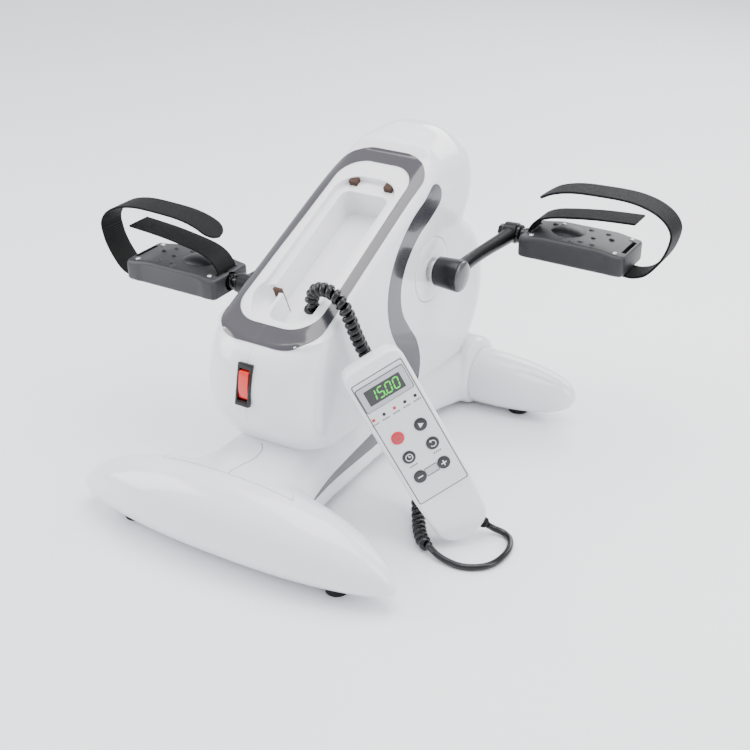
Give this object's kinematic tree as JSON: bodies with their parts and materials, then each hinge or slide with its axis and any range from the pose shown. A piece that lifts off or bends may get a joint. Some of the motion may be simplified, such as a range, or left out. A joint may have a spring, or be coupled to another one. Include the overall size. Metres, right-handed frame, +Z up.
{
  "type": "pedal exerciser",
  "caption": "Motorised floor pedal exerciser with glossy moulded casing on two cross feet, strapped pedals on a crank, and a corded handset.",
  "frame": {"origin": "on the floor, midway between the axes of the front and rear feet, on the machine's centre plane", "axes": "+X to the machine's right (the side with the handset), +Y from the front foot to the rear foot, +Z up"},
  "size_m": [0.5672, 0.4818, 0.336],
  "materials": {
    "casing_white": "glossy moulded",
    "tray_white": "glossy moulded",
    "trim_grey": "gloss painted",
    "pad_brown": "foam",
    "black_plastic": "satin",
    "black_rubber": "matt",
    "steel": "turned",
    "zinc_steel": "zinc plated",
    "frame_paint": "powder coated",
    "motor_can": "painted",
    "board_green": "solder mask",
    "switch_red": "translucent",
    "arm_black": "satin black",
    "cap_grey": "domed",
    "pedal_charcoal": "fine textured",
    "strap_black": "woven",
    "handset_white": "glossy moulded",
    "panel_print": "printed film",
    "bezel_grey": "printed",
    "window_black": "tinted",
    "lamp_red": "lens",
    "button_red": "moulded",
    "button_black": "moulded",
    "cord_black": "flexible jacket"
  },
  "bodies": {
    "root": {"casing_left": "casing_white", "casing_right": "casing_white", "cradle_tray": "tray_white", "trim_ring": "trim_grey", "cradle_pads": "pad_brown", "cord_grommet": "black_rubber", "side_trim_left": "trim_grey", "side_trim_right": "trim_grey", "axle_cover_left": "casing_white", "axle_cover_right": "casing_white", "base_cover": "casing_white", "front_foot": "casing_white", "rear_foot_tube": "casing_white", "rear_foot_cap_left": "casing_white", "rear_foot_cap_right": "casing_white", "rubber_pads": "black_rubber", "chassis": "frame_paint", "side_plate_left": "frame_paint", "side_plate_right": "frame_paint", "crank_bearings": "steel", "motor": "motor_can", "drive_belt": "black_rubber", "control_board": "board_green", "power_inlet": "black_plastic", "switch_bezel": "black_plastic", "casing_screws": "zinc_steel", "handset_cord": "cord_black", "handset_lead": "cord_black"},
    "crank": {"crank_axle": "steel", "drive_pulley": "black_plastic", "crank_arm_left": "arm_black", "crank_arm_right": "arm_black", "hub_cap_left": "cap_grey", "hub_cap_right": "cap_grey", "pedal_spindle_left": "zinc_steel", "pedal_spindle_right": "zinc_steel"},
    "pedal_left": {"pedal_body_left": "pedal_charcoal", "pedal_screws_left": "zinc_steel", "strap_outer_left": "strap_black", "strap_inner_left": "strap_black"},
    "pedal_right": {"pedal_body_right": "pedal_charcoal", "pedal_screws_right": "zinc_steel", "strap_outer_right": "strap_black", "strap_inner_right": "strap_black"},
    "rotor": {"motor_pulley": "steel"},
    "rocker": {"rocker_switch": "switch_red"},
    "handset": {"handset_front": "handset_white", "handset_back": "handset_white", "handset_panel": "panel_print", "display_bezel": "bezel_grey", "display_window": "window_black", "indicator_leds": "lamp_red", "handset_board": "board_green", "strain_relief": "black_rubber"},
    "power_key": {"power_button": "button_red"},
    "start_key": {"start_button": "button_black"},
    "time_key": {"time_button": "button_black"},
    "reverse_key": {"reverse_button": "button_black"},
    "minus_key": {"minus_button": "button_black"},
    "plus_key": {"plus_button": "button_black"}
  },
  "joints": [
    {"name": "crank_spin", "type": "hinge", "parent": "root", "child": "crank", "pos_m": [0, 0.088, 0.204], "axis": [1, 0, 0], "continuous": true},
    {"name": "pedal_left_spin", "type": "hinge", "parent": "crank", "child": "pedal_left", "pos_m": [-0.18, -0.01598, 0.18939], "axis": [1, 0, 0], "continuous": true},
    {"name": "pedal_right_spin", "type": "hinge", "parent": "crank", "child": "pedal_right", "pos_m": [0.18, 0.19198, 0.21861], "axis": [1, 0, 0], "continuous": true},
    {"name": "motor_spin", "type": "hinge", "parent": "root", "child": "rotor", "pos_m": [0.025, -0.05, 0.13], "axis": [1, 0, 0], "continuous": true},
    {"name": "rocker_tilt", "type": "hinge", "parent": "root", "child": "rocker", "pos_m": [0, -0.16007, 0.16738], "axis": [1, 0, 0], "range_deg": [-14, 0]},
    {"name": "handset_lift", "type": "slide", "parent": "root", "child": "handset", "axis": [0.4202, -0.7504, 0.5103], "range_m": [0, 0.04], "deforming": ["handset_cord", "handset_lead"]},
    {"name": "power_press", "type": "slide", "parent": "handset", "child": "power_key", "axis": [-0.686, 0.7071, -0.1715], "range_m": [0, 0.001], "stiffness_N_per_m": 400},
    {"name": "start_press", "type": "slide", "parent": "handset", "child": "start_key", "axis": [-0.686, 0.7071, -0.1715], "range_m": [0, 0.001], "stiffness_N_per_m": 400},
    {"name": "time_press", "type": "slide", "parent": "handset", "child": "time_key", "axis": [-0.686, 0.7071, -0.1715], "range_m": [0, 0.001], "stiffness_N_per_m": 400},
    {"name": "reverse_press", "type": "slide", "parent": "handset", "child": "reverse_key", "axis": [-0.686, 0.7071, -0.1715], "range_m": [0, 0.001], "stiffness_N_per_m": 400},
    {"name": "minus_press", "type": "slide", "parent": "handset", "child": "minus_key", "axis": [-0.686, 0.7071, -0.1715], "range_m": [0, 0.001], "stiffness_N_per_m": 400},
    {"name": "plus_press", "type": "slide", "parent": "handset", "child": "plus_key", "axis": [-0.686, 0.7071, -0.1715], "range_m": [0, 0.001], "stiffness_N_per_m": 400}
  ],
  "couplings": [
    {"joint": "motor_spin", "follows": "crank_spin", "ratio": 3.8333}
  ]
}
